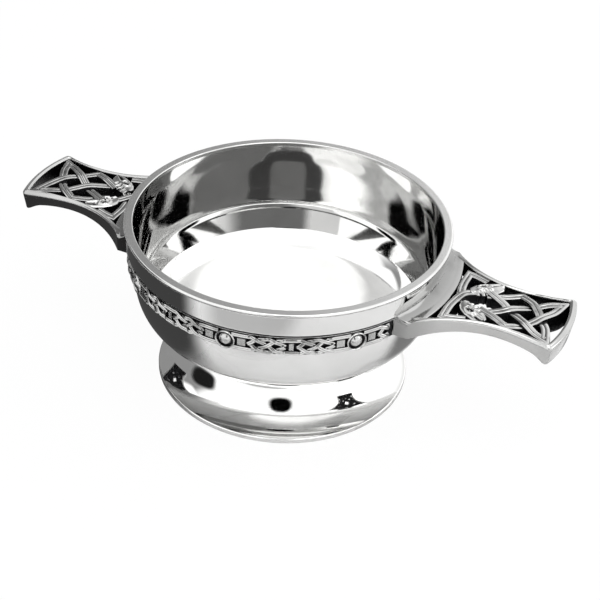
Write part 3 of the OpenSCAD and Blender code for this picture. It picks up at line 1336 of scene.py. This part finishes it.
    def panel_points(self, route: Rows, mirror: float) -> Array:
        """Places of a route in the window.

        Args:
            route: The route's points.
            mirror: 1 for the route as written and -1 for its mirrored twin.

        Returns:
            Rows of x, y and the height of the ribbon's top.
        """
        table = np.array(route)
        x = self.window_start + table[:, 0] * (self.window_end - self.window_start)
        y = mirror * table[:, 1] * self.half_width(x, self.side_border)
        height = self.top - self.weave_rise * (1.0 - mirror * table[:, 2])
        return np.stack([x, y, height], axis=-1)

    def swept_ribbon(self, path: Array) -> Surface:
        """A deep ribbon with two ridges and a groove, carried along a path seen from above.

        Its walls spread towards the bottom, as a casting's do, so little light comes through. Each section
        lies across the path's bisector, and is widened there by 1 over the cosine of half the turn, so that
        sharp turns come to a mitred point. The bottom is widened less, so that a point stays in the frame.

        Args:
            path: Rows of x, y and the height of the ribbon's top.

        Returns:
            The ribbon, closed at both ends.
        """
        step = unit(np.diff(path[:, :2], axis=0))
        before = np.concatenate([step[:1], step])
        bisector = before + np.concatenate([step, step[-1:]])
        length = np.linalg.norm(bisector, axis=-1, keepdims=True)
        folded = length < self.fold_limit
        bisector = np.where(folded, before, bisector / np.where(folded, 1.0, length))
        widen = np.minimum(2.0 / np.maximum(length, self.fold_limit), self.mitre_limit)
        normal = np.stack([-bisector[:, 1], bisector[:, 0]], axis=-1)
        across, drop, shade = symmetric(self.ribbon_section)
        low = drop == TO_FLOOR
        spread = across * np.where(low, np.minimum(widen, self.foot_mitre_limit), widen)
        flat = path[:, None, :2] + normal[:, None] * (0.5 * self.ribbon_w * spread)[..., None]
        floor = self.underside(flat[..., 0]) + self.panel_rise
        height = np.where(low, floor, path[:, 2:] - drop)
        return tube(np.concatenate([flat, height[..., None]], axis=-1), shade).turned(self.side)

    def sharp_route(self, route: Rows, turns: tuple[int, ...], mirror: float) -> Array:
        """A route that is smooth between its sharp turns.

        Args:
            route: The route's points.
            turns: Which points are sharp turns.
            mirror: 1 as written and -1 mirrored.

        Returns:
            The path's points.
        """
        places = self.panel_points(route, mirror)
        ends = [0, *turns, len(route) - 1]
        runs = [spline(places[a : b + 1], self.route_steps) for a, b in zip(ends[:-1], ends[1:])]
        return np.concatenate([runs[0], *[run[1:] for run in runs[1:]]])

    def head(self, mirror: float) -> Surface:
        """A beast head: a body that swells at the brow and tapers to the snout.

        Its top is a low dome across the spine. A lid is raised and its middle is sunk where the elliptic
        distance from the eye passes 1, a bead fills the eye, and a notch opens the mouth towards the
        snout. A sine makes lobes of the mane along the edge on the panel's middle.

        Args:
            mirror: 1 for the head as written and -1 for its twin.

        Returns:
            The head, closed at both ends.
        """
        beast = self.beast
        path = spline(self.panel_points(beast.spine, mirror), beast.spine_steps)
        step = unit(np.gradient(path[:, :2], axis=0))
        normal = mirror * np.stack([-step[:, 1], step[:, 0]], axis=-1)
        share = np.linspace(0.0, 1.0, len(path))[:, None]
        angle = np.linspace(0.0, math.pi, beast.across_steps)
        across = np.concatenate([[-1.0], -np.cos(angle), [1.0]])[None, :]
        eye_along = (share - beast.eye_at[0]) / beast.eye_size[0]
        eye_across = (across - beast.eye_at[1]) / beast.eye_size[1]
        from_eye = np.hypot(eye_along, eye_across)
        lid = beast.lid_h * ridge(from_eye, beast.lid_at, beast.lid_w)
        sunk = 1.0 - smooth_step(*beast.eye_edge, from_eye)
        bead = ridge(from_eye, 0.0, beast.bead_w)
        jaw = smooth_step(*beast.mouth_start, share) * ridge(across, beast.mouth_at, beast.mouth_w)
        mane = smooth_step(*beast.mane_start, share) * (1.0 - smooth_step(*beast.mane_end, share))
        lobes = mane * np.sin(beast.mane_lobes * math.pi * share) ** 2
        furrow = lobes * smooth_step(*beast.furrow_start, across)
        brow = smooth_step(*beast.brow_start, share) * ridge(across, beast.brow_at, beast.brow_w)
        dome = beast.dome_h * np.sqrt(np.clip(1.0 - across**2, 0.0, 1.0)) - beast.dome_h
        raised = beast.rise + dome + lid + beast.brow_h * brow + beast.bead_h * bead
        cut = beast.eye_depth * sunk + beast.mouth_depth * jaw + beast.furrow_depth * furrow
        notch = beast.mane_notch * lobes * (across > 0.0)
        half = np.interp(share, beast.half_at, beast.half_w) * (1.0 - notch)
        flat = path[:, None, :2] + normal[:, None] * (half * across)[..., None]
        height = path[:, 2:] + raised - cut
        height[:, [0, -1]] = self.underside(flat[:, [0, -1], 0]) + self.panel_rise
        edge = smooth_step(*beast.edge_shade, np.abs(across))
        eye = sunk - beast.bead_light * bead
        carved = np.maximum(beast.mouth_shade * jaw, beast.furrow_shade * furrow)
        recess = np.clip(np.maximum(np.maximum(edge, eye), carved), 0.0, 1.0)
        return tube(np.concatenate([flat, height[..., None]], axis=-1), recess).turned(self.side)

    def panel_surfaces(self) -> list[Surface]:
        """A strand, a neck and a head, and the mirrored twin of each.

        Returns:
            The six, turned to the handle's side.
        """
        made = []
        for mirror in (1.0, -1.0):
            made.append(self.swept_ribbon(self.sharp_route(self.strand_route, self.strand_turns, mirror)))
            made.append(self.swept_ribbon(self.sharp_route(self.neck_route, self.neck_turns, mirror)))
            made.append(self.head(mirror))
        return made

    def build(self) -> None:
        """Makes the frame and its pierced panel."""
        word = self.side.name.lower()
        build_piece(f"{word}_lug_frame", [self.frame_surface()], CASTING, f"{word}_handle_frame")
        build_piece(f"{word}_lug_interlace", self.panel_surfaces(), RELIEF, f"{word}_handle_knotwork")


@dataclass(frozen=True)
class StageCard:
    """A soft-edged card that only mirror reflections see, after a set number of them.

    So the foot, the bowl's floor and its wall can each be lit for themselves. The level is the grey that
    the card shows in a mirror. Its outline is a superellipse whose power is the squareness: 2 is round
    and 8 nearly square. Its cover falls from 1 to 0 over the outer share that the softness gives.
    """

    name: str
    seen: Seen
    level: float
    softness: float
    squareness: float

    @staticmethod
    def shares() -> tuple[Array, Array]:
        """Shares of the way across and up a card, from 0 to 1, on its grid."""
        side = np.linspace(0.0, 1.0, CARD_STEPS)
        return np.meshgrid(side, side, indexing="ij")

    def hang(self, points: Array) -> None:
        """Makes the card, with its cover and its glow.

        Args:
            points: The points of its grid.
        """
        powers = [np.abs(2.0 * share - 1.0) ** self.squareness for share in self.shares()]
        outward = sum(powers) ** (1.0 / self.squareness)
        mesh = bpy.data.meshes.new(self.name)
        mesh.from_pydata(points.reshape(-1, 3).tolist(), [], Surface(points, 0.0).faces().tolist())
        put_values(mesh, COVER, 1.0 - smooth_step(1.0 - self.softness, 1.0, outward))
        card = placed(self.name, mesh)
        card.visible_camera = False
        card.visible_diffuse = False
        card.visible_shadow = False
        material, sheet = new_material(self.name)
        material.cycles.emission_sampling = "NONE"
        sheet.tree.nodes.remove(sheet.tree.nodes["Principled BSDF"])
        depth = sheet.add("ShaderNodeLightPath")["Ray Depth"]
        if self.seen is Seen.OFTEN:
            met = sheet.math("GREATER_THAN", depth, self.seen.value - 0.5)
        else:
            met = sheet.math("COMPARE", depth, self.seen.value, 0.5)
        shown = sheet.math("MULTIPLY", met, sheet.stored(COVER))
        glow = sheet.add("ShaderNodeEmission", {"Color": (self.level, self.level, self.level, 1.0)})[0]
        sheet.show(shown, sheet.add("ShaderNodeBsdfTransparent")[0], glow)
        mesh.materials.append(material)


@dataclass(frozen=True)
class DomeCard(StageCard):
    """A card that is a patch of a sphere about the bowl.

    Its bearing is an azimuth and an elevation, and its span the angles that it takes up along each.
    """

    bearing: Pair
    span: Pair
    distance: float

    def build(self, target: Array) -> None:
        """Stands the card up about the target.

        Args:
            target: The sphere's centre.
        """
        across, up = self.shares()
        azimuth = self.bearing[0] + self.span[0] * (across - 0.5)
        elevation = self.bearing[1] + self.span[1] * (up - 0.5)
        self.hang(target + self.distance * direction(azimuth, elevation))


@dataclass(frozen=True)
class FloorPatch(StageCard):
    """A card laid on the floor between four corners."""

    corners: tuple[Pair, ...]

    def build(self, lift: float) -> None:
        """Lays the card; a point is the mean of the corners, weighted by its shares of the way across.

        Args:
            lift: The card's height above the floor.
        """
        s, t = self.shares()
        weights = np.stack([(1.0 - s) * (1.0 - t), s * (1.0 - t), s * t, (1.0 - s) * t], axis=-1)
        flat = weights @ np.array(self.corners)
        self.hang(np.concatenate([flat, np.full((*s.shape, 1), lift)], axis=-1))


@dataclass(frozen=True)
class SoftLamp:
    """A square area lamp that faces the bowl."""

    name: str
    place: Triple
    side: float
    radiance: float

    def build(self, target: Array) -> None:
        """Hangs the lamp; its power is its radiance times pi times its area.

        Args:
            target: The point that it faces.
        """
        data = bpy.data.lights.new(self.name, "AREA")
        data.size = self.side
        data.energy = self.radiance * math.pi * self.side**2
        lamp = placed(self.name, data)
        lamp.location = self.place
        away = Vector(self.place) - Vector(target)
        lamp.rotation_euler = away.to_track_quat("Z", "Y").to_euler()


@dataclass(frozen=True)
class TentLight:
    """A bright part of the light tent about an axis.

    The axis is an azimuth and an elevation, and the spread is the dot product with it at which the
    light starts to rise, and at which it reaches its level.
    """

    axis: Pair
    spread: Pair
    level: float


@dataclass
class Studio:
    """Floor, light and camera."""

    azimuth: float = 23.07
    elevation: float = 35.54
    roll: float = 3.08
    distance: float = 0.4809
    target: Triple = (0.00466, 0.00207, 0.0276)
    lens: float = 82.98
    sensor: float = 36.0
    floor_half: float = 6.0
    floor_colour: Triple = (0.60, 0.60, 0.60)
    floor_roughness: float = 0.12
    camera_white: float = 0.95
    patch_step: float = 0.0001
    # Level, softness and squareness, then the corners.
    patches: tuple[FloorPatch, ...] = (
        FloorPatch(
            "front_shade", Seen.ONCE, 0.80, 0.35, 4.0,
            ((-0.06, -0.24), (0.09, -0.24), (0.09, -0.095), (-0.06, -0.095)),
        ),
        FloorPatch(
            "right_shade", Seen.ONCE, 0.30, 0.4, 4.0,
            ((0.045, -0.02), (0.105, -0.005), (0.115, 0.08), (0.045, 0.08)),
        ),
        FloorPatch(
            "floor_sheet", Seen.TWICE, 3.0, 0.2, 4.0,
            ((-0.03, -0.35), (0.35, -0.35), (0.35, 0.06), (-0.03, -0.04)),
        ),
        FloorPatch(
            "near_sheet", Seen.OFTEN, 4.5, 0.3, 4.0,
            ((-0.03, -0.15), (0.20, -0.15), (0.20, 0.06), (-0.03, -0.04)),
        ),
        # A dark sheet, seen only in the first reflection, that paints the bowl's shadow on the floor.
        FloorPatch(
            "painted_floor_shadow", Seen.ONCE, 0.08, 0.35, 4.0,
            ((-0.26, 0.08), (-0.01, 0.04), (0.0, -0.075), (-0.17, -0.21)),
        ),
    )
    # Level, softness and squareness, then bearing, span and distance.
    cards: tuple[DomeCard, ...] = (
        DomeCard("camera_rig", Seen.ONCE, 0.0, 0.35, 2.5, (-67.0, 34.0), (32.0, 44.0), 0.46),
        DomeCard("back_left_fill", Seen.ONCE, 2.0, 0.35, 8.0, (163.0, 50.0), (40.0, 30.0), 0.70),
        DomeCard("left_flag", Seen.ONCE, 0.02, 0.35, 3.0, (-161.0, 16.0), (40.0, 36.0), 0.40),
        DomeCard("front_glow", Seen.TWICE, 3.3, 0.15, 8.0, (-60.0, 48.0), (170.0, 84.0), 0.60),
        DomeCard("low_back_flag", Seen.TWICE, 0.4, 0.3, 8.0, (135.0, 17.0), (110.0, 24.0), 0.60),
        DomeCard("camera_stroke", Seen.TWICE, 0.0, 0.35, 3.0, (-67.0, 40.0), (46.0, 22.0), 0.133),
        DomeCard("camera_blob", Seen.OFTEN, 0.0, 0.35, 2.5, (-67.0, 27.0), (46.0, 36.0), 0.45),
        DomeCard("door", Seen.OFTEN, 0.20, 0.12, 12.0, (122.0, 49.0), (120.0, 80.0), 0.62),
        DomeCard("door_pane", Seen.OFTEN, 0.60, 0.25, 8.0, (119.0, 43.0), (62.0, 54.0), 0.58),
        DomeCard("left_screen", Seen.OFTEN, 0.62, 0.12, 8.0, (-134.0, 44.0), (100.0, 88.0), 0.64),
        DomeCard("right_glow", Seen.OFTEN, 6.4, 0.85, 8.0, (28.0, 45.0), (110.0, 86.0), 0.66),
        DomeCard("blob_halo", Seen.OFTEN, 2.6, 0.4, 8.0, (-60.0, 45.0), (50.0, 20.0), 0.50),
    )
    lamps: tuple[SoftLamp, ...] = (
        SoftLamp("overhead_softbox", (0.10, -0.10, 0.95), 0.6, 2.2),
        SoftLamp("right_softbox", (0.70, 0.30, 0.45), 0.5, 1.5),
    )
    tent_dim: float = 0.45
    tent_side: TentLight = TentLight((-28.0, 0.0), (-0.90, -0.50), 1.9)
    tent_dome: TentLight = TentLight((-66.0, 62.0), (0.42, 0.55), 1.8)

    def floor(self) -> None:
        """Pale floor that looks white to the camera, shows its own grey in the metal, and takes shadows."""
        half = self.floor_half
        mesh = bpy.data.meshes.new("studio_floor")
        corners = [(-half, -half, 0.0), (half, -half, 0.0), (half, half, 0.0), (-half, half, 0.0)]
        mesh.from_pydata(corners, [], [(0, 1, 2, 3)])
        placed("studio_floor", mesh)
        material, sheet = new_material("floor_paper")
        paper = sheet.tree.nodes["Principled BSDF"]
        sheet.feed(paper, {"Base Color": (*self.floor_colour, 1.0), "Roughness": self.floor_roughness})
        direct = sheet.add("ShaderNodeLightPath")["Is Camera Ray"]
        white = sheet.math("MULTIPLY", direct, self.camera_white)
        sheet.show(white, paper.outputs[0], sheet.add("ShaderNodeEmission")[0])
        mesh.materials.append(material)

    def tent(self, sheet: NodeSheet, facing: Socket, light: TentLight) -> Socket:
        """The strength of one part of the tent, which rises with the dot product with the part's axis.

        Args:
            sheet: The world's sheet.
            facing: The direction that is looked in.
            light: The bright part.

        Returns:
            The strength, from dim to the part's level.
        """
        along = sheet.vector("DOT_PRODUCT", facing, tuple(direction(*light.axis)))["Value"]
        return sheet.rise(along, *light.spread, self.tent_dim, light.level)

    def world(self) -> None:
        """A light tent: dim, with a bright side and a brighter dome over the front.

        The side part goes by the level bearing and the dome part by the whole direction, and the larger
        of the two is the strength. The camera sees plain white.
        """
        world = bpy.data.worlds.new("studio_world")
        world.use_nodes = True
        sheet = NodeSheet(world.node_tree)
        facing = sheet.add("ShaderNodeTexCoord")["Generated"]
        levelled = sheet.vector("MULTIPLY", facing, (1.0, 1.0, 0.0))["Vector"]
        bearing = sheet.vector("NORMALIZE", levelled)["Vector"]
        side = self.tent(sheet, bearing, self.tent_side)
        dome = self.tent(sheet, facing, self.tent_dome)
        direct = sheet.add("ShaderNodeLightPath")["Is Camera Ray"]
        strength = sheet.mix("FLOAT", direct, sheet.math("MAXIMUM", side, dome), 1.0)
        background = {"Color": (1.0, 1.0, 1.0, 1.0), "Strength": strength}
        sheet.feed(world.node_tree.nodes["Background"], background)
        bpy.context.scene.world = world

    def camera(self) -> None:
        """Camera at the photograph's angle, from its azimuth, elevation, roll and distance.

        An azimuth of 0 puts it on the -y side, a quarter turn back from the x axis.
        """
        roll = math.radians(self.roll)
        level = direction(self.azimuth, 0.0)
        back = direction(self.azimuth - 90.0, self.elevation)
        right = math.cos(roll) * level + math.sin(roll) * np.cross(back, level)
        data = bpy.data.cameras.new("photo_camera")
        data.lens = self.lens
        data.sensor_width = self.sensor
        camera = placed("photo_camera", data)
        matrix = np.eye(4)
        matrix[:3, :3] = np.stack([right, np.cross(back, right), back], axis=-1)
        matrix[:3, 3] = np.array(self.target) + self.distance * back
        camera.matrix_world = matrix.T.tolist()
        bpy.context.scene.camera = camera

    def build(self) -> None:
        """Sets up the studio, with each floor patch a step above the one before."""
        self.floor()
        self.world()
        self.camera()
        target = np.array(self.target)
        for card in self.cards:
            card.build(target)
        for order, patch in enumerate(self.patches, start=1):
            patch.build(order * self.patch_step)
        for lamp in self.lamps:
            lamp.build(target)
        bpy.context.scene.view_settings.view_transform = "Standard"


def main() -> None:
    """Builds the sub-assemblies in order."""
    logging.basicConfig(level=logging.INFO, format="%(name)s %(message)s")
    Bowl().build()
    Foot().build()
    KnotworkBand().build()
    for side in Side:
        Handle(side).build()
    Studio().build()


if __name__ == "__main__":
    main()
